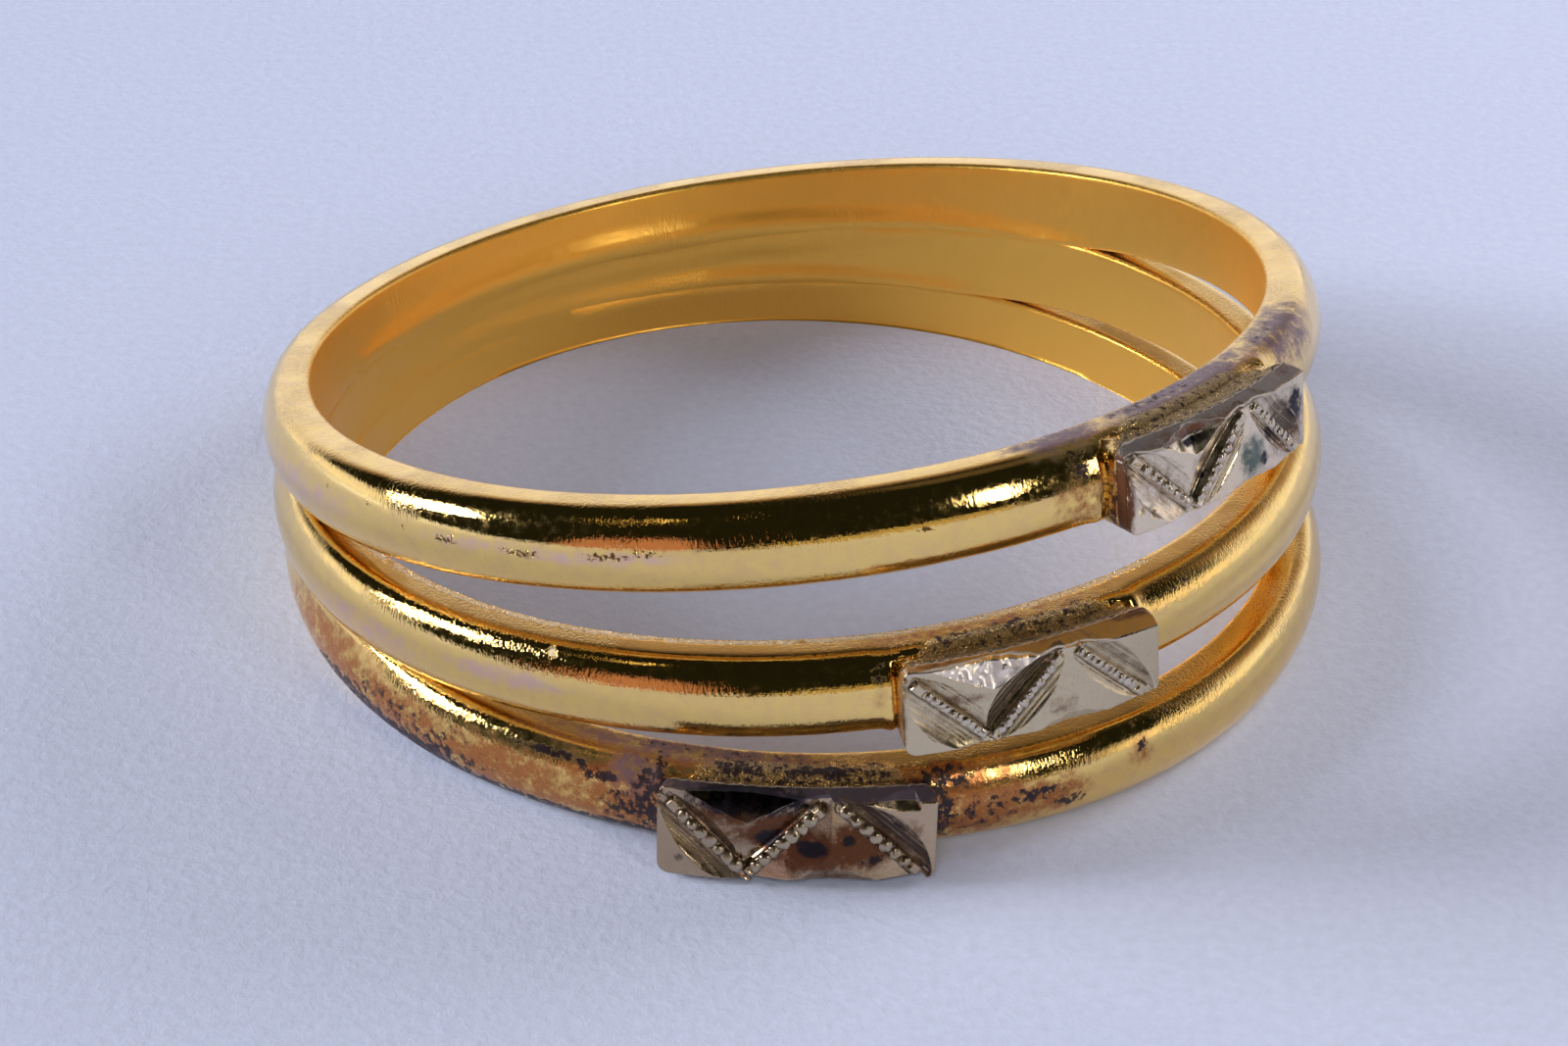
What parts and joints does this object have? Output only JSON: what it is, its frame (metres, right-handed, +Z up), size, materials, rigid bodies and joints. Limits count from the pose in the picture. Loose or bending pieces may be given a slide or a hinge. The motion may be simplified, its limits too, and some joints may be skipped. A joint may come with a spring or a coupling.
{
  "type": "gold ring",
  "caption": "Finger ring of half-round gold bands soldered at the back and fanned apart at the front, each with a white-gold plate cut in a beaded zigzag.",
  "frame": {"origin": "on the surface the ring rests on, under the middle of its bounding box", "axes": "+Z up, away from the surface, from the lower band to the upper one; -Y towards the plates; +X to the side where the bands stand furthest apart"},
  "size_m": [0.0194, 0.02, 0.0071],
  "materials": {
    "yellow_gold": "polished 18 ct yellow gold, worn, with pits and dark oxide by the plates and under the lower band",
    "white_gold_upper": "bright-cut white gold, stained violet and brown",
    "white_gold_middle": "bright-cut white gold, clean",
    "white_gold_lower": "bright-cut white gold, stained brown"
  },
  "bodies": {
    "root": {"shank": "yellow_gold", "plate_upper": "white_gold_upper", "plate_middle": "white_gold_middle", "plate_lower": "white_gold_lower"}
  },
  "joints": []
}
